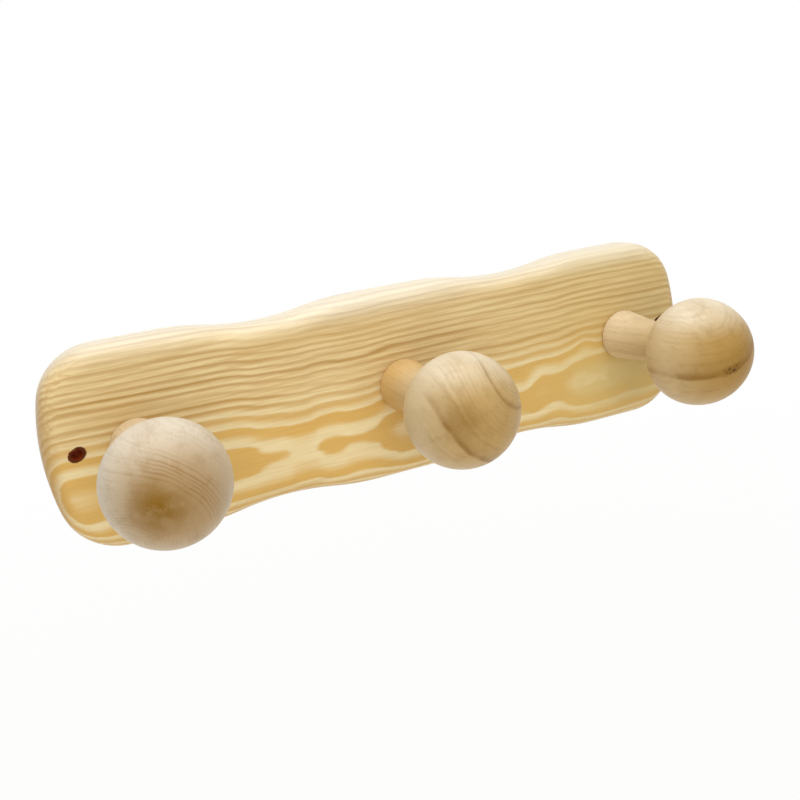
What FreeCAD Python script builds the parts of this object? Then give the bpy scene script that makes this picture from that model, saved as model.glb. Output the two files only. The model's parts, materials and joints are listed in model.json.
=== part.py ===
import FreeCAD, Part
import math
import os

# A wall coat rack: a pine board with wavy long edges carries three turned ball knobs.
# Each knob stands on the front face and is held by a wood screw driven from the back.
# X runs along the board, Y points into the wall and Z is up. The wall plane is y = 0,
# and the origin is midway between the two holes for the wall screws. All sizes are millimetres.

# Board
board_height = 90.0
board_thickness = 18.0
crest_width = 33.0
hollow_depth = 4.2
end_bow = 10.0
corner_radius = 27.0
front_round = 8.0
back_round = 1.5

# Holes for the wall screws, set out from the outer knobs
hole_from_knob = 25.0
hole_above_knobs = 2.0
end_from_hole = 13.5
wall_hole_diameter = 5.0

# Knobs, each turned in one piece
knob_pitch = 125.0
ball_diameter = 50.0
ball_reach = 58.5
ball_back_round = 18.0
neck_base_diameter = 25.0
neck_waist_diameter = 18.5
neck_fillet = 14.0
neck_rim_round = 2.0

# Countersunk wood screws that hold the knobs
screw_length = 50.0
screw_diameter = 4.0
screw_head_diameter = 8.0
screw_head_angle = 90.0
screw_tip_length = 5.0
screw_head_sink = 0.5
screw_clearance = 0.25
cross_length = 4.6
cross_width = 1.1
cross_depth = 1.6

# How far a cutter runs past the surface that it cuts
overrun = 1.0

# Places that follow from the sizes
half_height = board_height / 2
wall_hole_x = knob_pitch + hole_from_knob
half_length = wall_hole_x + end_from_hole
corner_x = half_length - end_bow
hollow_width = knob_pitch - crest_width
face_y = -board_thickness
middle_y = face_y / 2
screw_head_y = -screw_head_sink
screw_head_overhang = (screw_head_diameter - screw_diameter) / 2
screw_head_depth = screw_head_overhang / math.tan(math.radians(screw_head_angle / 2))
screw_neck_y = screw_head_y - screw_head_depth
screw_tip_y = screw_head_y - screw_length
knob_places = {"left": -knob_pitch, "middle": 0, "right": knob_pitch}
into_wall = FreeCAD.Vector(0, 1, 0)
out_of_wall = FreeCAD.Vector(0, -1, 0)
knobs_below_holes = FreeCAD.Vector(0, 0, -hole_above_knobs)


def point(x, y, z=0):
    return FreeCAD.Vector(x, y, z)


def line(start, end):
    return Part.LineSegment(start, end).toShape()


def arc_through(start, middle, end):
    return Part.Arc(start, middle, end).toShape()


def arc_about(centre, start, end):
    """The shorter arc from start to end about their common centre."""
    towards_middle = (start - centre) + (end - centre)
    middle = centre + towards_middle.normalize() * (start - centre).Length
    return arc_through(start, middle, end)


def turned(edges, x):
    """The solid that a closed outline beside the knob's axis sweeps out around it."""
    outline = Part.Face(Part.Wire(edges))
    return outline.revolve(point(x, 0), into_wall, 360)


def drill(diameter, x, from_y, to_y, z=0):
    """A round cutter along Y, from one depth out to another."""
    return Part.makeCylinder(diameter / 2, from_y - to_y, point(x, from_y, z), out_of_wall)


def hollow_edge(side, middle_x):
    """One shallow hollow in the board's top edge for side 1, in its bottom edge for side -1.

    A concave arc lies between two convex shoulders of the same radius and half its width,
    and all three run into each other and into the straight edge smoothly.
    """
    half_width = hollow_width / 2
    radius = ((half_width / 2) ** 2 + (hollow_depth / 2) ** 2) / hollow_depth
    edge_z = side * half_height
    inflection_z = side * (half_height - hollow_depth / 2)
    shoulder_z = side * (half_height - radius)
    middle_z = side * (half_height - hollow_depth + radius)
    left, left_turn, right_turn, right = [
        point(middle_x - half_width, 0, edge_z),
        point(middle_x - half_width / 2, 0, inflection_z),
        point(middle_x + half_width / 2, 0, inflection_z),
        point(middle_x + half_width, 0, edge_z),
    ]
    return [
        arc_about(point(left.x, 0, shoulder_z), left, left_turn),
        arc_about(point(middle_x, 0, middle_z), left_turn, right_turn),
        arc_about(point(right.x, 0, shoulder_z), right_turn, right),
    ]


def long_edge(side):
    """A long edge of the board: straight beside the knobs, hollow midway between them."""
    hollows = [hollow_edge(side, middle_x) for middle_x in (-knob_pitch / 2, knob_pitch / 2)]
    left_corner = point(-corner_x, 0, side * half_height)
    right_corner = point(corner_x, 0, side * half_height)
    starts = [left_corner] + [hollow[-1].lastVertex().Point for hollow in hollows]
    ends = [hollow[0].firstVertex().Point for hollow in hollows] + [right_corner]
    return [line(a, b) for a, b in zip(starts, ends)] + hollows[0] + hollows[1]


def board_blank():
    """The board sawn to its outline, before its edges are rounded."""
    ends = []
    for side in (-1, 1):
        upper = point(side * corner_x, 0, half_height)
        lower = point(side * corner_x, 0, -half_height)
        ends.append(arc_through(upper, point(side * half_length, 0), lower))
    outline = Part.Wire(Part.__sortEdges__(long_edge(1) + long_edge(-1) + ends))
    return Part.Face(outline).extrude(out_of_wall * board_thickness)


def backboard():
    board = board_blank()
    across = [e for e in board.Edges if e.BoundBox.YMin < middle_y < e.BoundBox.YMax]
    corners = [e for e in across if abs(e.CenterOfMass.x) > knob_pitch]
    board = board.makeFillet(corner_radius, corners)
    board = board.makeFillet(back_round, [e for e in board.Edges if e.BoundBox.YMin > middle_y])
    front_radius = min(front_round, board_thickness - 2 * back_round)
    board = board.makeFillet(front_radius, [e for e in board.Edges if e.BoundBox.YMax < middle_y])
    for x in (-wall_hole_x, wall_hole_x):
        board = board.cut(drill(wall_hole_diameter, x, overrun, face_y - overrun, hole_above_knobs))
    for x in knob_places.values():
        board = board.cut(screw_way(x))
    return board


def screw_way(x):
    """The clearance hole for a knob's screw, countersunk in the board's back for the screw's head."""
    head_way = drill(screw_head_diameter, x, overrun, screw_head_y)
    shank_way = drill(screw_diameter + 2 * screw_clearance, x, overrun, face_y - overrun)
    seat_mouth = point(x, screw_head_y)
    mouth_radius = screw_head_diameter / 2
    seat = Part.makeCone(mouth_radius, screw_diameter / 2, screw_head_depth, seat_mouth, out_of_wall)
    return head_way.fuse([shank_way, seat])


def screw_body(x):
    """A countersunk screw as turned, without the cross in its head."""
    shank_end_y = screw_tip_y + screw_tip_length
    corners = [
        point(x, screw_head_y),
        point(x + screw_head_diameter / 2, screw_head_y),
        point(x + screw_diameter / 2, screw_neck_y),
        point(x + screw_diameter / 2, shank_end_y),
        point(x, screw_tip_y),
    ]
    sides = [line(a, b) for a, b in zip(corners, corners[1:] + corners[:1])]
    return turned(sides, x)


def knob_screw(x):
    screw = screw_body(x)
    for long_x, long_z in ((cross_length, cross_width), (cross_width, cross_length)):
        slot_corner = point(x - long_x / 2, screw_head_y - cross_depth, -long_z / 2)
        screw = screw.cut(Part.makeBox(long_x, cross_depth + overrun, long_z, slot_corner))
    return screw


def knob(x):
    """A ball with a flattened back, on a neck that widens towards a flat foot on the board."""
    ball_radius = ball_diameter / 2
    waist = neck_waist_diameter / 2
    foot = neck_base_diameter / 2
    ball_centre = point(x, face_y - ball_reach)
    widest = point(x + ball_radius, ball_centre.y)
    ball_tip = ball_centre + out_of_wall * ball_radius

    back_centre = widest - point(ball_back_round, 0)
    fillet_x = x + waist + neck_fillet
    fillet_from_back = ball_back_round + neck_fillet
    waist_from_ball = math.sqrt(fillet_from_back ** 2 - (fillet_x - back_centre.x) ** 2)
    fillet_centre = point(fillet_x, ball_centre.y + waist_from_ball)
    towards_fillet = (fillet_centre - back_centre).normalize()
    ball_back = back_centre + towards_fillet * ball_back_round

    foot_middle = point(x, face_y)
    foot_edge = point(x + foot - neck_rim_round, face_y)
    neck_foot = point(x + foot, face_y - neck_rim_round)
    share = neck_fillet / (neck_foot - fillet_centre).Length
    towards_foot = (neck_foot - fillet_centre).normalize()
    towards_axis = point(-towards_foot.y, towards_foot.x)
    touch = towards_foot * share + towards_axis * math.sqrt(1 - share ** 2)
    neck_end = fillet_centre + touch * neck_fillet
    outline = [
        line(foot_middle, foot_edge),
        arc_about(point(foot_edge.x, neck_foot.y), foot_edge, neck_foot),
        line(neck_foot, neck_end),
        arc_about(fillet_centre, neck_end, ball_back),
        arc_about(back_centre, ball_back, widest),
        arc_about(ball_centre, widest, ball_tip),
        line(ball_tip, foot_middle),
    ]
    return turned(outline, x).cut(screw_body(x))


# Everything is drawn about the line of the knobs, which runs a little below the wall-screw holes.
pieces = {"backboard": backboard()}
for place, knob_x in knob_places.items():
    pieces[f"{place}_knob"] = knob(knob_x)
    pieces[f"{place}_knob_screw"] = knob_screw(knob_x)

os.makedirs("parts", exist_ok=True)
for name, piece in pieces.items():
    piece.translate(knobs_below_holes)
    piece.exportStep(f"parts/{name}.step")
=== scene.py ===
import json
import math
import bpy
from mathutils import Color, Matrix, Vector


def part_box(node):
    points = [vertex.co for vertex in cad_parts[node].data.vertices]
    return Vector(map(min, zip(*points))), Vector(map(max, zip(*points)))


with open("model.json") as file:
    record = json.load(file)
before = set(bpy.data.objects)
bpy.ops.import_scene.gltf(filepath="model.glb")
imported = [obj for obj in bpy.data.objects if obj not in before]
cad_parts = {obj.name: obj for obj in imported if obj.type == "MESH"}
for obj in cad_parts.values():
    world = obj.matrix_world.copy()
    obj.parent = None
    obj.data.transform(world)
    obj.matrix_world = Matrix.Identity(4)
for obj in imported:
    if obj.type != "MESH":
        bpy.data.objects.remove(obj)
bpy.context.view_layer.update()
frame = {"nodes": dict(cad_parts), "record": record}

# Backboard
# One flat-sawn pine board, sawn with shallow hollows in its long edges, rounded over at the
# front, sanded and sealed with a thin satin varnish. Two plain holes take the wall screws.

MM_PER_METRE = 1000.0


def box_in_mm(name):
    """The lowest and the highest corner of a piece from the frame, in millimetres."""
    return [corner * MM_PER_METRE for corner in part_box(name)]


def mount(name):
    """What the record says of one of the rack's mounts."""
    return next(entry for entry in frame["record"]["mounts"] if entry["name"] == name)


# The knobs stand in a line along the middle of the board.
board_low, board_high = box_in_mm("backboard")
FACE_Y = board_low.y
BACK_Y = board_high.y
HALF_LENGTH = board_high.x
KNOB_LINE_Z = (board_low.z + board_high.z) / 2
WALL_HOLE_X = mount("wall_screws")["dims"]["spacing_x_mm"] / 2
WALL_HOLE_RADIUS = mount("wall_screws")["dims"]["hole_r_mm"]


def shade(red, green, blue):
    """A colour as a paint chart gives it, from 0 to 255, made linear for a shader's socket."""
    chart_colour = Color((red / 255, green / 255, blue / 255))
    return (*chart_colour.from_srgb_to_scene_linear(), 1.0)


def fill(tree, made, sockets):
    """Gives each of a node's sockets, by name or number, a value or a link."""
    for key, value in dict(sockets).items():
        if isinstance(value, bpy.types.NodeSocket):
            tree.links.new(value, made.inputs[key])
        else:
            made.inputs[key].default_value = value


def node(tree, kind, sockets=(), **settings):
    """A new node of that kind, with its settings and sockets."""
    made = tree.nodes.new("ShaderNode" + kind)
    for key, value in settings.items():
        setattr(made, key, value)
    fill(tree, made, sockets)
    return made


def calc(tree, operation, *values):
    """One step of arithmetic on numbers or sockets."""
    return node(tree, "Math", enumerate(values), operation=operation).outputs[0]


def combine(tree, operation, first, *others):
    """Several values taken together, such as their sum or the highest of them."""
    result = first
    for value in others:
        result = calc(tree, operation, result, value)
    return result


def product(tree, *values):
    """Several values multiplied."""
    return combine(tree, "MULTIPLY", *values)


def vector_calc(tree, operation, *values):
    """One step of arithmetic on vectors. A length comes out as a number."""
    made = node(tree, "VectorMath", enumerate(values), operation=operation)
    return made.outputs["Value" if operation == "LENGTH" else "Vector"]


def separate(tree, place):
    """The x, y and z of a place."""
    return node(tree, "SeparateXYZ", {0: place}).outputs


def slope(tree, value, low, high, at_low=0.0, at_high=1.0):
    """A value that goes smoothly from one level to another between two limits."""
    sockets = enumerate((value, low, high, at_low, at_high))
    return node(tree, "MapRange", sockets, interpolation_type="SMOOTHSTEP").outputs[0]


def mix(tree, amount, first, second):
    """Two colours mixed by an amount from 0 to 1."""
    sockets = {0: amount, 6: first, 7: second}
    return node(tree, "Mix", sockets, data_type="RGBA").outputs[2]


def noise(tree, place, waves, detail=2.0, roughness=0.5):
    """Smooth noise from 0 to 1, with so many waves to the unit along X, Y and Z."""
    scaled = vector_calc(tree, "MULTIPLY", place, waves)
    sockets = {"Vector": scaled, "Scale": 1.0, "Detail": detail, "Roughness": roughness}
    return node(tree, "TexNoise", sockets).outputs[0]


def millimetres(tree):
    """The place on the piece in millimetres, measured from the middle of the line of the knobs."""
    metres = node(tree, "TexCoord").outputs["Object"]
    return vector_calc(tree, "MULTIPLY_ADD", metres, (MM_PER_METRE,) * 3, (0, 0, -KNOB_LINE_Z))


def distance_across(tree, place, x, z):
    """How far a place is from a line along Y through x and z."""
    offset = vector_calc(tree, "SUBTRACT", place, (x, 0, z))
    return vector_calc(tree, "LENGTH", vector_calc(tree, "MULTIPLY", offset, (1, 0, 1)))


def along_board(tree, x, points):
    """A value that follows points drawn along the board."""
    lowest = min(value for _, value in points)
    spread = max(value for _, value in points) - lowest
    start = points[0][0]
    length = points[-1][0] - start
    share = calc(tree, "DIVIDE", calc(tree, "SUBTRACT", x, start), length)
    made = node(tree, "FloatCurve", {"Value": share})
    curve = made.mapping.curves[0]
    while len(curve.points) < len(points):
        curve.points.new(0.5, 0.5)
    for handle, (place, value) in zip(curve.points, points):
        handle.location = ((place - start) / length, (value - lowest) / spread)
        handle.handle_type = "AUTO_CLAMPED"
    made.mapping.update()
    return calc(tree, "MULTIPLY_ADD", made.outputs[0], spread, lowest)


def new_material(name):
    """A material with one shader, which is returned with the tree."""
    material = bpy.data.materials.new(name)
    material.use_nodes = True
    return material, material.node_tree, material.node_tree.nodes["Principled BSDF"]


def new_group(name, inputs, outputs):
    """An empty node group. A socket is a vector where its name ends in Place, or else a number."""
    group = bpy.data.node_groups.new(name, "ShaderNodeTree")
    for names, in_out in ((inputs, "INPUT"), (outputs, "OUTPUT")):
        for socket in names:
            kind = "NodeSocketVector" if socket.endswith("Place") else "NodeSocketFloat"
            group.interface.new_socket(socket, in_out=in_out, socket_type=kind)
    start = group.nodes.new("NodeGroupInput")
    end = group.nodes.new("NodeGroupOutput")
    return group, start.outputs, end


def place_group(tree, group, sockets):
    """One use of a node group."""
    made = tree.nodes.new("ShaderNodeGroup")
    made.node_tree = group
    fill(tree, made, sockets)
    return made.outputs


def make_growth_rings():
    """Year rings: early wood darkens into late wood, which pales again before the next ring."""
    group, given, result = new_group(
        "growth_rings",
        inputs=["Ring Count", "Late Start", "Late Full", "Late End"],
        outputs=["Late Wood", "Ring Tone"],
    )
    part = calc(group, "FRACT", given["Ring Count"])
    darkens = slope(group, part, given["Late Start"], given["Late Full"])
    pales = slope(group, part, given["Late End"], 1.0, at_low=1.0, at_high=0.0)
    year = calc(group, "FLOOR", given["Ring Count"])
    tone = node(group, "TexWhiteNoise", {"W": year}, noise_dimensions="1D").outputs["Value"]
    fill(group, result, {"Late Wood": product(group, darkens, pales), "Ring Tone": tone})
    return group


# Streaks and pores have so many waves to the width of a fibre, and the drift to the millimetre.
# A pore opens where its noise is over an edge, which drops as the amount of pores goes up.
FIBRE_STREAKS = (0.016, 0.4, 0.4)
PORE_DASHES = (0.05, 0.9, 0.9)
PORE_EDGE = 0.86
PORE_EDGE_DROP = 0.24
PORE_EDGE_WIDTH = 0.06
TONE_DRIFT = (0.012, 0.06, 0.06)


def make_wood_fibre():
    """Wood fibres along X: fine streaks, short open pores and a broad drift in tone."""
    group, given, result = new_group(
        "wood_fibre",
        inputs=["Grain Place", "Fibre Width", "Pore Amount"],
        outputs=["Streaks", "Pores", "Drift"],
    )
    in_widths = vector_calc(group, "DIVIDE", given["Grain Place"], given["Fibre Width"])
    streaks = noise(group, in_widths, FIBRE_STREAKS, detail=4.0, roughness=0.6)
    dashes = noise(group, in_widths, PORE_DASHES, detail=1.0)
    edge = calc(group, "MULTIPLY_ADD", given["Pore Amount"], -PORE_EDGE_DROP, PORE_EDGE)
    pores = slope(group, dashes, edge, calc(group, "ADD", edge, PORE_EDGE_WIDTH))
    drift = noise(group, given["Grain Place"], TONE_DRIFT)
    fill(group, result, {"Streaks": streaks, "Pores": pores, "Drift": drift})
    return group


growth_rings = make_growth_rings()
wood_fibre = make_wood_fibre()

# The pith ran in front of the face. These are its distance in front of the face and its height
# above the line of the knobs, in millimetres, at places along the board.
PITH_IN_FRONT = [
    (-165, 21.4), (-152, 21.4), (-138, 21.8), (-110, 22.0), (-92, 22.4), (-80, 22.8), (-70, 23.7),
    (-61, 24.05), (-52, 24.7), (-45, 24.0), (-37, 23.5), (-28, 24.05), (-20, 23.8), (-14, 23.0),
    (-8, 22.0), (0, 21.2), (25, 21.6), (45, 22.5), (60, 23.2), (70, 22.6), (76, 22.4), (82, 22.6),
    (90, 21.9), (100, 20.6), (112, 20.2), (125, 20.8), (140, 21.5), (165, 22.0),
]
PITH_HEIGHT = [
    (-165, -18.5), (-92, -18.8), (-70, -20.5), (-37, -21.6), (-12, -22.0), (45, -21.0),
    (165, -20.5),
]

# Distances from the pith, in millimetres, between which the wood changes.
CLOUDY_TO_CLEAR_CORE = (23.0, 28.0)
SMOOTH_TO_FIBROUS_WOOD = (26.0, 38.0)
CORE_TO_OUTER_WOOD = (27.0, 40.0)
BROAD_TO_NARROW_LINES = (28.0, 36.0)
CALM_TO_WAVERING_RINGS = (28.0, 40.0)
STRONG_TO_WEAK_LINES = (29.0, 34.0)
HEARTWOOD_TO_SAPWOOD_AND_EDGE_LIGHT = (57.0, 72.0)

# The rings are counted from the first one outwards. They are wide near it and narrower beyond.
FIRST_RING = 24.3
RING_WIDTH = 2.85
WIDE_RINGS_REACH = 8.0

# Places where the grain swirls: x, z, half length, half height, and how much further from the
# pith the wood in the middle of the swirl counts.
GRAIN_SWIRLS = [
    (64, -13, 13, 9, 1.5),
    (64, -30, 14, 8, -0.7),
    (82, -33, 13, 9, 0.8),
    (102, 0, 9, 9, -1.6),
    (78, -9, 12, 7, -0.5),
    (120, -31, 20, 8, 0.6),
]

# The rings wander everywhere: waves to the millimetre along X, Y and Z, and their depth, which for
# the broad ones is given in the core and outside it.
BROAD_WANDER = (0.012, 0.11, 0.11)
BROAD_WANDER_DEPTHS = (0.9, 2.4)
LONG_WANDER = (0.004, 0.2, 0.2)
LONG_WANDER_DEPTH = 1.4
SHORT_WANDER = (0.06, 0.3, 0.3)
SHORT_WANDER_DEPTH = 0.6


def pine_rings(tree, place):
    """How far a place is from the pith, with all that bends the rings, and its count of rings."""
    x, y, z = separate(tree, place)
    behind_face = calc(tree, "SUBTRACT", y, FACE_Y)
    behind_pith = calc(tree, "ADD", behind_face, along_board(tree, x, PITH_IN_FRONT))
    above_pith = calc(tree, "SUBTRACT", z, along_board(tree, x, PITH_HEIGHT))
    from_pith = node(tree, "CombineXYZ", {"Y": behind_pith, "Z": above_pith}).outputs[0]
    radius = vector_calc(tree, "LENGTH", from_pith)
    bends = []
    for swirl_x, swirl_z, half_length, half_height, push in GRAIN_SWIRLS:
        offset = vector_calc(tree, "SUBTRACT", place, (swirl_x, 0, swirl_z))
        share = vector_calc(tree, "MULTIPLY", offset, (1 / half_length, 0, 1 / half_height))
        from_swirl = vector_calc(tree, "LENGTH", share)
        bends.append(slope(tree, from_swirl, 0.0, 1.0, at_low=push, at_high=0.0))
    wanders = [
        (BROAD_WANDER, slope(tree, radius, *CALM_TO_WAVERING_RINGS, *BROAD_WANDER_DEPTHS)),
        (LONG_WANDER, LONG_WANDER_DEPTH),
        (SHORT_WANDER, SHORT_WANDER_DEPTH),
    ]
    for waves, depth in wanders:
        wander = calc(tree, "SUBTRACT", noise(tree, place, waves, detail=1.0), 0.5)
        bends.append(product(tree, wander, depth))
    radius = combine(tree, "ADD", radius, *bends)
    past_first = calc(tree, "SUBTRACT", radius, FIRST_RING)
    narrow = calc(tree, "DIVIDE", past_first, RING_WIDTH)
    wide = calc(tree, "TANH", calc(tree, "DIVIDE", past_first, WIDE_RINGS_REACH))
    return radius, calc(tree, "SUBTRACT", narrow, wide)


CORE_EARLY_WOOD = shade(241, 223, 174)
CORE_LATE_WOOD = shade(222, 180, 98)
OUTER_EARLY_WOOD = shade(235, 211, 156)
OUTER_LATE_WOOD = shade(182, 138, 68)
HONEY_DRIFT = shade(208, 168, 96)
FIBRE_BROWN = shade(190, 146, 76)
PORE_BROWN = shade(150, 104, 48)

# How strong the dark lines of the outer rings are, in the faintest year or stretch of a ring and
# in the strongest, and all of them beside those of the core.
YEAR_STRENGTHS = (0.4, 1.05)
STRETCH_STRENGTHS = (0.5, 1.05)
STRETCH_WAVES = (0.014, 0.09, 0.09)
OUTER_STRENGTH = 0.85

# How strong the fibres are in the core and outside it, and the drift and the pores everywhere.
FIBRE_STRENGTHS = (0.16, 0.4)
DRIFT_STRENGTH = 0.3
PORE_STRENGTH = 0.2


def pine_figure(tree, place, radius, rings, fibre):
    """Early and late wood, with fibres and pores. The outer rings differ from year to year."""
    outer = slope(tree, radius, *CORE_TO_OUTER_WOOD)
    early = mix(tree, outer, CORE_EARLY_WOOD, OUTER_EARLY_WOOD)
    late = mix(tree, outer, CORE_LATE_WOOD, OUTER_LATE_WOOD)
    by_year = slope(tree, rings["Ring Tone"], 0.0, 1.0, *YEAR_STRENGTHS)
    by_stretch = slope(tree, noise(tree, place, STRETCH_WAVES), 0.3, 0.7, *STRETCH_STRENGTHS)
    change = calc(tree, "SUBTRACT", product(tree, by_year, by_stretch), 1.0)
    uneven = calc(tree, "MULTIPLY_ADD", outer, change, 1.0)
    weaker = slope(tree, radius, *STRONG_TO_WEAK_LINES, at_low=1.0, at_high=OUTER_STRENGTH)
    wood = mix(tree, product(tree, rings["Late Wood"], uneven, weaker), early, late)
    drift = slope(tree, fibre["Drift"], 0.4, 0.75, at_high=DRIFT_STRENGTH)
    wood = mix(tree, drift, wood, HONEY_DRIFT)
    fibrous = slope(tree, radius, *SMOOTH_TO_FIBROUS_WOOD, *FIBRE_STRENGTHS)
    streaks = product(tree, slope(tree, fibre["Streaks"], 0.42, 0.66), fibrous)
    wood = mix(tree, streaks, wood, FIBRE_BROWN)
    return mix(tree, product(tree, fibre["Pores"], PORE_STRENGTH), wood, PORE_BROWN)


# Each tint of the board has its colour, where it comes in and how strong it gets. The first two
# come in along X, the end grain near the board's ends, and the sapwood far from the pith, which is
# also a painted highlight on the rounded top edge.
OLIVE_TINT = shade(206, 182, 116)
OLIVE_TINT_X = (20.0, 120.0)
OLIVE_TINT_STRENGTH = 0.3
OLIVE_CLOUD = shade(212, 186, 114)
OLIVE_CLOUD_X = (80.0, 105.0)
OLIVE_CLOUD_WAVES = (0.05, 0.13, 0.13)
OLIVE_CLOUD_STRENGTHS = (0.3, 0.75)
END_GRAIN = shade(186, 142, 78)
END_GRAIN_FROM_END = (0.5, 8.5)
END_GRAIN_STRENGTH = 0.55
SAPWOOD_AND_EDGE_LIGHT = shade(233, 227, 210)
SAPWOOD_AND_EDGE_LIGHT_STRENGTH = 0.6


def tint_pine(tree, place, radius, wood):
    """The olive right half and cloudy core, the brown ends, and pale sapwood and a painted
    highlight on top.
    """
    x = separate(tree, place)[0]
    olive = slope(tree, x, *OLIVE_TINT_X, at_high=OLIVE_TINT_STRENGTH)
    wood = mix(tree, olive, wood, OLIVE_TINT)
    cloud = noise(tree, place, OLIVE_CLOUD_WAVES, detail=3.0, roughness=0.6)
    cloud = slope(tree, cloud, 0.4, 0.62, *OLIVE_CLOUD_STRENGTHS)
    in_core = slope(tree, radius, *CLOUDY_TO_CLEAR_CORE, at_low=1.0, at_high=0.0)
    at_right = slope(tree, x, *OLIVE_CLOUD_X)
    wood = mix(tree, product(tree, cloud, in_core, at_right), wood, OLIVE_CLOUD)
    to_end = calc(tree, "SUBTRACT", HALF_LENGTH, calc(tree, "ABSOLUTE", x))
    at_end = slope(tree, to_end, *END_GRAIN_FROM_END, at_low=END_GRAIN_STRENGTH, at_high=0.0)
    wood = mix(tree, at_end, wood, END_GRAIN)
    # Partly painted highlight: pale sapwood, made strong enough to stand in for the light on the
    # top edge.
    pale_lit_top = slope(tree, radius, *HEARTWOOD_TO_SAPWOOD_AND_EDGE_LIGHT, at_high=SAPWOOD_AND_EDGE_LIGHT_STRENGTH)
    return mix(tree, pale_lit_top, wood, SAPWOOD_AND_EDGE_LIGHT)


# Painted shade of each hole: a dark patch in two overlapping rounds, set off from its middle in X
# and Z, which reach past the hole by up to so much, with a soft and ragged edge. The dark rim
# turns into a reddish painted shade in the bore at depths behind the face, and the painted shade
# fades at distances in front of the back.
HOLE_RIM_SHADE = shade(88, 38, 6)
HOLE_BORE_SHADE = shade(186, 80, 10)
HOLE_SHADE_OFFSETS = [(-0.9, -0.45), (0.9, 0.45)]
HOLE_SHADE_REACH = 0.8
HOLE_SHADE_EDGE = (-0.2, 0.3)
HOLE_SHADE_WAVES = (0.6, 0.6, 0.6)
RIM_TO_BORE = (0.3, 1.0)
CLEAN_BACK_TO_HOLE_SHADE = (0.1, 0.6)


def paint_hole_shade(tree, place, wood):
    """The wood with painted shade in and around the wall-screw holes, and how much of it, 0 to 1.
    """
    ragged = product(tree, noise(tree, place, HOLE_SHADE_WAVES, detail=1.0), HOLE_SHADE_REACH)
    rounds = []
    for hole_x in (-WALL_HOLE_X, WALL_HOLE_X):
        for aside, above in HOLE_SHADE_OFFSETS:
            distance = distance_across(tree, place, hole_x + aside, above - KNOB_LINE_Z)
            past_hole = combine(tree, "SUBTRACT", distance, WALL_HOLE_RADIUS, ragged)
            rounds.append(slope(tree, past_hole, *HOLE_SHADE_EDGE, at_low=1.0, at_high=0.0))
    y = separate(tree, place)[1]
    to_back = calc(tree, "SUBTRACT", BACK_Y, y)
    off_back = slope(tree, to_back, *CLEAN_BACK_TO_HOLE_SHADE)
    hole_shade = product(tree, combine(tree, "MAXIMUM", *rounds), off_back)
    behind_face = calc(tree, "SUBTRACT", y, FACE_Y)
    in_bore = slope(tree, behind_face, *RIM_TO_BORE)
    # Painted shade: a dark rim on the face and a reddish bore behind it.
    hole_shade_colour = mix(tree, in_bore, HOLE_RIM_SHADE, HOLE_BORE_SHADE)
    return mix(tree, hole_shade, wood, hole_shade_colour), hole_shade


# Where in a ring the late wood starts, is full and ends, in the core and outside it.
PINE_LATE_WOOD = {"Late Start": (0.08, 0.26), "Late Full": (0.6, 0.68), "Late End": (0.86, 0.74)}
PINE_FIBRE = {"Fibre Width": 0.45, "Pore Amount": 0.45}

# The varnish is so thin that late wood and fibres stand a little proud, and pores stay open.
VARNISH_ROUGHNESS = 0.36
PINE_VARNISH = 0.25
PINE_ROUGHNESS = (0.4, 0.54)
PINE_GLOSS = 0.35
LATE_WOOD_RELIEF = 0.5
FIBRE_RELIEF = 0.6
PINE_BUMP = {"Strength": 0.2, "Distance": 0.0002}


def make_pine():
    pine, tree, shader = new_material("varnished_pine")
    place = millimetres(tree)
    radius, count = pine_rings(tree, place)
    late_wood = {
        socket: slope(tree, radius, *BROAD_TO_NARROW_LINES, *parts)
        for socket, parts in PINE_LATE_WOOD.items()
    }
    rings = place_group(tree, growth_rings, {"Ring Count": count, **late_wood})
    fibre = place_group(tree, wood_fibre, {"Grain Place": place, **PINE_FIBRE})
    wood = pine_figure(tree, place, radius, rings, fibre)
    wood = tint_pine(tree, place, radius, wood)
    # Painted shade in and around the wall-screw holes, with no varnish where it lies.
    wood, hole_shade = paint_hole_shade(tree, place, wood)

    matt = slope(tree, fibre["Streaks"], 0.2, 0.8, *PINE_ROUGHNESS)
    clear_of_hole_shade = calc(tree, "SUBTRACT", 1.0, hole_shade)
    raised_fibre = product(tree, fibre["Streaks"], FIBRE_RELIEF)
    raised = calc(tree, "MULTIPLY_ADD", rings["Late Wood"], LATE_WOOD_RELIEF, raised_fibre)
    relief = calc(tree, "SUBTRACT", raised, fibre["Pores"])
    fill(tree, shader, {
        "Base Color": wood,
        "Roughness": calc(tree, "MAXIMUM", matt, hole_shade),
        "Specular IOR Level": PINE_GLOSS,
        "Coat Weight": product(tree, clear_of_hole_shade, PINE_VARNISH),
        "Coat Roughness": VARNISH_ROUGHNESS,
        "Normal": node(tree, "Bump", {"Height": relief, **PINE_BUMP}).outputs[0],
    })
    return pine


def finish_node(name, material):
    """Gives a piece from the frame its material."""
    slots = frame["nodes"][name].data.materials
    slots.clear()
    slots.append(material)


finish_node("backboard", make_pine())

# Knobs
# Each knob is turned in one piece from a pale, fine-grained hardwood, with the grain along the
# knob. It is sanded and varnished, and a screw from behind draws its flat foot onto the board.

knob_low, knob_high = box_in_mm("middle_knob")
BALL_RADIUS = (knob_high.z - knob_low.z) / 2
BALL_CENTRE_Y = knob_low.y + BALL_RADIUS
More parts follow.
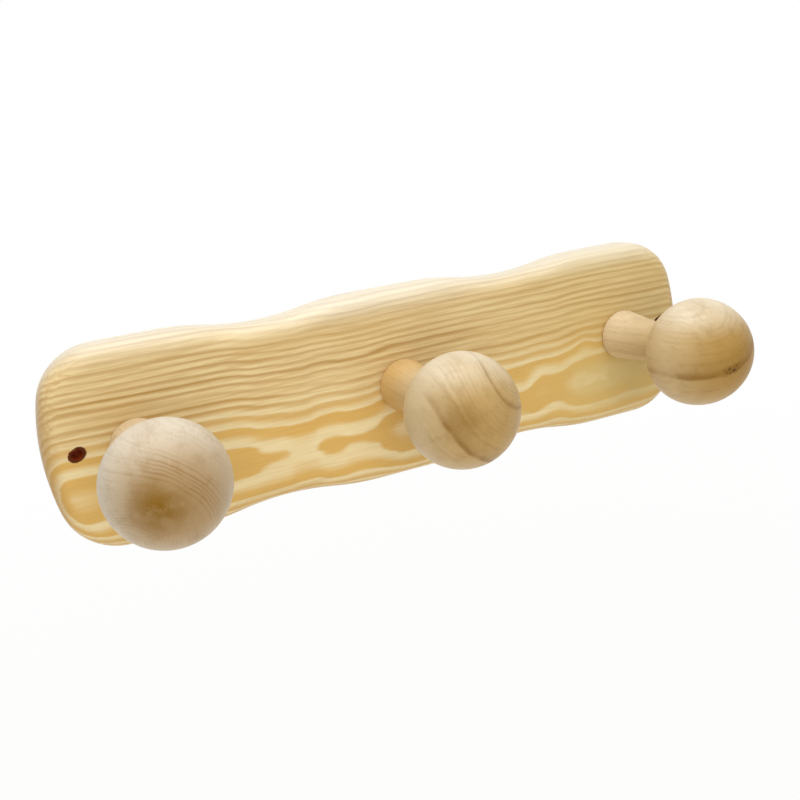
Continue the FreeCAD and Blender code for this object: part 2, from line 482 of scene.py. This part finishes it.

# What sets each knob apart, with places in X and Z from its axis, in millimetres. A streak has its
# distance from the pith, how far it fades inwards and outwards, its strength, and the share of it
# that is left on the sides and back of the ball. The streaks are clear near one place, up to a
# first distance from it, and gone at a second. A patch has its place, reach and strength, a knot
# its place and reach, and the painted highlight on top its strength. The neck colour is painted
# light: warm bounce from the board, and a lift for the shaded underside of the neck.
KNOB_WOOD = {
    "left": {
        "pith": (-18.5, -16.8),
        "ring_width": 1.5,
        "streaks": [
            (29.2, 0.6, 0.6, 0.3, 0.0), (31.0, 0.7, 0.6, 0.5, 0.0), (32.3, 0.6, 0.6, 0.35, 0.0),
            (33.5, 0.6, 0.6, 0.4, 0.0), (34.8, 0.7, 0.6, 0.5, 0.0), (36.8, 0.6, 0.6, 0.25, 0.0),
        ],
        "streaks_show": (3.0, 5.0, 9.0, 21.0),
        "patches": [(-7.8, -0.6, 16.5, 1.0)],
        "knots": [],
        "side_grain": shade(216, 201, 176),
        "end_grain": shade(173, 142, 98),
        "neck_bounce_light": shade(220, 192, 146),
        "top_highlight": 0.2,
    },
    "middle": {
        "pith": (22.5, 18.0),
        "ring_width": 1.9,
        "streaks": [
            (18.0, 1.8, 1.5, 0.5, 0.5), (36.1, 1.0, 1.0, 0.3, 0.1), (42.4, 1.8, 1.5, 0.6, 0.1),
            (42.4, 8.0, 1.2, 0.35, 0.0),
        ],
        "streaks_show": (0.0, 0.0, 40.0, 50.0),
        "patches": [(-9.5, 3.0, 12.0, 0.5)],
        "knots": [],
        "side_grain": shade(213, 190, 148),
        "end_grain": shade(187, 153, 94),
        "neck_bounce_light": shade(215, 173, 102),
        "top_highlight": 0.45,
    },
    "right": {
        "pith": (-13.5, 43.0),
        "ring_width": 2.2,
        "streaks": [(48.9, 3.0, 1.8, 0.7, 0.6), (48.9, 12.0, 1.6, 0.3, 0.15)],
        "streaks_show": (0.0, 0.0, 40.0, 50.0),
        "patches": [(6.0, -3.0, 14.0, 0.3)],
        "knots": [(-1.2, -3.6, 7.5)],
        "side_grain": shade(209, 183, 136),
        "end_grain": shade(174, 136, 68),
        "neck_bounce_light": shade(234, 214, 178),
        "top_highlight": 0.7,
    },
}
STREAK_BROWN = shade(132, 90, 16)
HEART_BROWN = shade(136, 97, 20)
KNOT_BROWN = shade(70, 38, 2)
# Painted highlight: a pale colour laid on the tops of the balls.
KNOB_TOP_HIGHLIGHT = shade(236, 222, 194)

# Stretches of a knob over which its wood changes, in radii of the ball forward of its centre.
NECK_TO_BALL = (-2.2, -1.0)
FAINT_TO_CLEAR_STREAKS = (-1.4, -0.8)
PLAIN_TO_MOTTLED_WOOD = (-0.2, 0.9)
SIDE_TO_FRONT_STREAKS = (0.2, 0.8)
GLOSSY_TO_DULL_VARNISH = (0.2, 0.9)
SIDE_TO_END_GRAIN = (0.2, 1.1)
CLEAR_TO_BROWN_HEART = (0.3, 0.9)
CLEAN_TO_KNOTTY_WOOD = (0.4, 0.7)

# Painted light: the neck near the board is tinted as if lit by warm bounce from it, and the balls
# get a painted highlight on top between these heights.
NECK_BOUNCE_LIGHT = 0.8
TOP_HIGHLIGHT_HEIGHTS = (9.0, 25.0)


def knob_ground(tree, values, forward, z):
    """Plain wood, browner at the front where end grain shows, with painted light on neck and top.
    """
    at_front = slope(tree, forward, *SIDE_TO_END_GRAIN)
    colour = mix(tree, at_front, values["side_grain"], values["end_grain"])
    # Painted light: the neck is tinted near the board as if lit by warm bounce from it.
    neck_bounce = slope(tree, forward, *NECK_TO_BALL, at_low=NECK_BOUNCE_LIGHT, at_high=0.0)
    colour = mix(tree, neck_bounce, colour, values["neck_bounce_light"])
    # Painted highlight: the top of the ball is paler where the overhead lamp lights it.
    pale_lit_top = slope(tree, z, *TOP_HIGHLIGHT_HEIGHTS, at_high=values["top_highlight"])
    return mix(tree, pale_lit_top, colour, KNOB_TOP_HIGHLIGHT)


PATCH_MIDDLE = 1.0
MOTTLE_WAVES = (0.16, 0.05, 0.16)
MOTTLE_STRENGTH = 0.3
MOTTLE_LEFT_BEHIND = 0.3


def add_heart(tree, values, colour, place, forward, uneven):
    """Brown patches of heartwood on the front of the ball, and a fine mottle around them."""
    in_front = slope(tree, forward, *CLEAR_TO_BROWN_HEART)
    for patch_x, patch_z, reach, strength in values["patches"]:
        distance = distance_across(tree, place, patch_x, patch_z)
        patch = slope(tree, distance, PATCH_MIDDLE, reach, at_low=strength, at_high=0.0)
        colour = mix(tree, product(tree, patch, in_front, uneven), colour, HEART_BROWN)
    mottle = noise(tree, place, MOTTLE_WAVES, detail=4.0, roughness=0.65)
    mottle = slope(tree, mottle, 0.45, 0.75, at_high=MOTTLE_STRENGTH)
    forwards = slope(tree, forward, *PLAIN_TO_MOTTLED_WOOD, at_low=MOTTLE_LEFT_BEHIND)
    return mix(tree, product(tree, mottle, forwards), colour, HEART_BROWN)


STREAKS_LEFT_ON_NECK = 0.4


def add_streaks(tree, values, colour, place, radius, forward, uneven):
    """Dark streaks that follow the rings, and are fainter on the neck."""
    show_x, show_z, clear, gone = values["streaks_show"]
    from_show = distance_across(tree, place, show_x, show_z)
    shows = slope(tree, from_show, clear, gone, at_low=1.0, at_high=0.0)
    off_neck = slope(tree, forward, *FAINT_TO_CLEAR_STREAKS, at_low=STREAKS_LEFT_ON_NECK)
    fades = product(tree, shows, off_neck, uneven)
    for streak, inner_fade, outer_fade, strength, left_behind in values["streaks"]:
        rises = slope(tree, radius, streak - inner_fade, streak, at_high=strength)
        falls = slope(tree, radius, streak, streak + outer_fade, at_low=1.0, at_high=0.0)
        in_front = slope(tree, forward, *SIDE_TO_FRONT_STREAKS, at_low=left_behind)
        colour = mix(tree, product(tree, rises, falls, in_front, fades), colour, STREAK_BROWN)
    return colour


KNOT_SPECK_WAVES = (0.8, 0.8, 0.8)
KNOT_EDGE = (0.5, 3.0)


def add_knots(tree, values, colour, place, radius, forward):
    """Pin knots on the front of the ball, drawn out along the rings and full of dark specks."""
    specks = slope(tree, noise(tree, place, KNOT_SPECK_WAVES), 0.48, 0.6)
    in_front = slope(tree, forward, *CLEAN_TO_KNOTTY_WOOD)
    for knot_x, knot_z, reach in values["knots"]:
        knot_radius = math.dist(values["pith"], (knot_x, knot_z))
        off_ring = calc(tree, "ABSOLUTE", calc(tree, "SUBTRACT", radius, knot_radius))
        on_ring = slope(tree, off_ring, *KNOT_EDGE, at_low=1.0, at_high=0.0)
        distance = distance_across(tree, place, knot_x, knot_z)
        near = slope(tree, distance, 0.0, reach, at_low=1.0, at_high=0.0)
        knot = product(tree, near, on_ring, in_front)
        colour = mix(tree, knot, colour, HEART_BROWN)
        colour = mix(tree, product(tree, knot, specks), colour, KNOT_BROWN)
    return colour


# The rings of a knob wander a little. Their fine lines are broken, and so are the patches and
# streaks, though less.
KNOB_RING_WANDER = (0.09, 0.015, 0.09)
KNOB_WANDER_DEPTH = 2.4
KNOB_LATE_WOOD = {"Late Start": 0.1, "Late Full": 0.5, "Late End": 0.55}
KNOB_LINE_STRENGTH = 0.16
BROKEN_WAVES = (0.1, 0.1, 0.1)
LINES_LEFT_IN_BREAKS = 0.15
MARKS_LEFT_IN_BREAKS = 0.5

KNOB_FIBRE = {"Fibre Width": 0.3, "Pore Amount": 0.3}
KNOB_FIBRE_STRENGTH = 0.3
KNOB_DRIFT_STRENGTH = 0.2
KNOB_PORE_STRENGTH = 0.12

KNOB_ROUGHNESS = (0.4, 0.52)
KNOB_GLOSS = 0.2
KNOB_VARNISH = (0.35, 0.05)
KNOB_BUMP = {"Strength": 0.15, "Distance": 0.0001}


def make_knob_wood(side):
    values = KNOB_WOOD[side]
    knob_x = mount(side + "_knob_neck")["pos_m"][0] * MM_PER_METRE
    wood, tree, shader = new_material(side + "_turned_hardwood")
    place = vector_calc(tree, "SUBTRACT", millimetres(tree), (knob_x, 0, 0))
    x, y, z = separate(tree, place)
    forward = calc(tree, "DIVIDE", calc(tree, "SUBTRACT", BALL_CENTRE_Y, y), BALL_RADIUS)

    wander = calc(tree, "SUBTRACT", noise(tree, place, KNOB_RING_WANDER), 0.5)
    from_pith = distance_across(tree, place, *values["pith"])
    radius = calc(tree, "MULTIPLY_ADD", wander, KNOB_WANDER_DEPTH, from_pith)
    count = calc(tree, "DIVIDE", radius, values["ring_width"])
    rings = place_group(tree, growth_rings, {"Ring Count": count, **KNOB_LATE_WOOD})
    along_knob = node(tree, "CombineXYZ", {"X": y, "Y": x, "Z": z}).outputs[0]
    fibre = place_group(tree, wood_fibre, {"Grain Place": along_knob, **KNOB_FIBRE})
    broken = noise(tree, place, BROKEN_WAVES, detail=3.0)
    broken = slope(tree, broken, 0.36, 0.6, at_low=LINES_LEFT_IN_BREAKS)
    uneven = slope(tree, broken, 0.0, 1.0, at_low=MARKS_LEFT_IN_BREAKS)

    colour = knob_ground(tree, values, forward, z)
    by_year = slope(tree, rings["Ring Tone"], 0.0, 1.0, at_high=KNOB_LINE_STRENGTH)
    colour = mix(tree, product(tree, rings["Late Wood"], by_year, broken), colour, STREAK_BROWN)
    colour = add_heart(tree, values, colour, place, forward, uneven)
    colour = add_streaks(tree, values, colour, place, radius, forward, uneven)
    colour = add_knots(tree, values, colour, place, radius, forward)
    fibres = slope(tree, fibre["Streaks"], 0.45, 0.8, at_high=KNOB_FIBRE_STRENGTH)
    colour = mix(tree, fibres, colour, values["end_grain"])
    drift = slope(tree, fibre["Drift"], 0.45, 0.75, at_high=KNOB_DRIFT_STRENGTH)
    colour = mix(tree, drift, colour, values["end_grain"])
    colour = mix(tree, product(tree, fibre["Pores"], KNOB_PORE_STRENGTH), colour, STREAK_BROWN)

    raised_fibre = product(tree, fibre["Streaks"], FIBRE_RELIEF)
    relief = calc(tree, "SUBTRACT", raised_fibre, fibre["Pores"])
    fill(tree, shader, {
        "Base Color": colour,
        "Roughness": slope(tree, fibre["Streaks"], 0.2, 0.8, *KNOB_ROUGHNESS),
        "Specular IOR Level": KNOB_GLOSS,
        "Coat Weight": slope(tree, forward, *GLOSSY_TO_DULL_VARNISH, *KNOB_VARNISH),
        "Coat Roughness": VARNISH_ROUGHNESS,
        "Normal": node(tree, "Bump", {"Height": relief, **KNOB_BUMP}).outputs[0],
    })
    return wood


for side in KNOB_WOOD:
    finish_node(side + "_knob", make_knob_wood(side))

# Knob screws
# Three countersunk steel wood screws with a cross recess, zinc plated, driven from the back of
# the board into the knobs. Only their heads can be seen, a little below the board's back.

BLUISH_ZINC = shade(176, 180, 184)
YELLOWISH_ZINC = shade(200, 196, 184)
ZINC_CLOUD_WAVES = (0.5, 0.5, 0.5)
ZINC_SCRATCH_WAVES = (3.0, 3.0, 3.0)
ZINC_ROUGHNESS = (0.24, 0.42)
ZINC_BUMP = {"Strength": 0.15, "Distance": 0.0001}


def make_zinc():
    zinc, tree, shader = new_material("zinc_plated_steel")
    place = millimetres(tree)
    cloud = noise(tree, place, ZINC_CLOUD_WAVES, detail=3.0)
    scratches = noise(tree, place, ZINC_SCRATCH_WAVES)
    fill(tree, shader, {
        "Base Color": mix(tree, cloud, BLUISH_ZINC, YELLOWISH_ZINC),
        "Roughness": slope(tree, cloud, 0.3, 0.7, *ZINC_ROUGHNESS),
        "Metallic": 1.0,
        "Normal": node(tree, "Bump", {"Height": scratches, **ZINC_BUMP}).outputs[0],
    })
    return zinc


zinc = make_zinc()
for side in KNOB_WOOD:
    finish_node(side + "_knob_screw", zinc)

# Studio
# A pale floor well below the rack and a white surround. One broad soft lamp hangs above the rack,
# a weaker one stands in front of it near the camera, and a third lights its back.

WHITE = (1, 1, 1, 1)
SURROUND_LIGHT = 0.43

# The floor shows the rack's shadow faintly under the rack, and not at all further out.
FLOOR_PALE = shade(222, 212, 194)
FLOOR_ROUGHNESS = 0.9
FLOOR_Z = -0.30
FLOOR_RADIUS = 6.0
FLOOR_SIDES = 96
WHITE_UNDER_RACK = 0.95
SHADOW_FADES = (0.2, 1.2)


def shows_white(tree):
    """1 where a surface is seen, also in gloss or through glass, and 0 where it gives light."""
    rays = node(tree, "LightPath").outputs
    seen_by = [rays[f"Is {kind} Ray"] for kind in ("Camera", "Glossy", "Transmission")]
    return combine(tree, "MAXIMUM", *seen_by)


def make_floor_white():
    """White where it is seen, but for a trace of the shadow, and pale where it gives light."""
    white, tree, shader = new_material("floor_white")
    fill(tree, shader, {
        "Base Color": FLOOR_PALE, "Roughness": FLOOR_ROUGHNESS, "Specular IOR Level": 0.0,
    })
    place = node(tree, "TexCoord").outputs["Object"]
    away = vector_calc(tree, "LENGTH", vector_calc(tree, "MULTIPLY", place, (1, 1, 0)))
    whiteness = slope(tree, away, *SHADOW_FADES, at_low=WHITE_UNDER_RACK)
    amount = product(tree, shows_white(tree), whiteness)
    plain = node(tree, "Emission", {"Color": WHITE, "Strength": 1.0}).outputs[0]
    both = node(tree, "MixShader", {0: amount, 1: shader.outputs[0], 2: plain}).outputs[0]
    fill(tree, tree.nodes["Material Output"], {"Surface": both})
    return white


bpy.ops.mesh.primitive_circle_add(
    vertices=FLOOR_SIDES, radius=FLOOR_RADIUS, fill_type="NGON", location=(0, 0, FLOOR_Z)
)
floor = bpy.context.object
floor.name = "floor"
floor.data.materials.append(make_floor_white())

scene = bpy.context.scene
scene.world = bpy.data.worlds.new("white_surround")
scene.world.use_nodes = True
world_tree = scene.world.node_tree
world_seen = shows_white(world_tree)
world_light = calc(world_tree, "MULTIPLY_ADD", world_seen, 1.0 - SURROUND_LIGHT, SURROUND_LIGHT)
fill(world_tree, world_tree.nodes["Background"], {"Color": WHITE, "Strength": world_light})


def soft_lamp(name, place, aim, width, height, watts, tint=(1, 1, 1), shows_in_gloss=False):
    """A rectangular softbox that points at a place."""
    lamp = bpy.data.lights.new(name, "AREA")
    lamp.shape = "RECTANGLE"
    lamp.size = width
    lamp.size_y = height
    lamp.energy = watts
    lamp.color = tint
    holder = bpy.data.objects.new(name, lamp)
    scene.collection.objects.link(holder)
    holder.location = place
    backwards = Vector(place) - Vector(aim)
    holder.rotation_euler = backwards.to_track_quat("Z", "Y").to_euler()
    holder.visible_glossy = shows_in_gloss


soft_lamp(
    "overhead_softbox", place=(-0.05, -0.1, 1.1), aim=(0, -0.05, 0), width=1.0, height=0.8,
    watts=9.7, tint=(0.97, 0.99, 1.04), shows_in_gloss=True,
)
soft_lamp(
    "front_softbox", place=(-0.3, -1.25, 0.25), aim=(0, 0, 0), width=0.9, height=0.9, watts=6.2
)
soft_lamp(
    "rear_softbox", place=(0.25, 1.2, 0.1), aim=(0, 0, 0), width=0.9, height=0.9, watts=4.5
)

CAMERA_PLACE = (-0.17731, -0.43642, 0.11698)
CAMERA_DEGREES = (74.345, 6.718, -24.525)
LENS_MM = 44.789
SENSOR_MM = 36.0

camera_data = bpy.data.cameras.new("camera")
camera_data.sensor_width = SENSOR_MM
camera_data.lens = LENS_MM
camera = bpy.data.objects.new("camera", camera_data)
scene.collection.objects.link(camera)
camera.location = CAMERA_PLACE
camera.rotation_euler = [math.radians(angle) for angle in CAMERA_DEGREES]
scene.camera = camera

scene.view_settings.view_transform = "Standard"
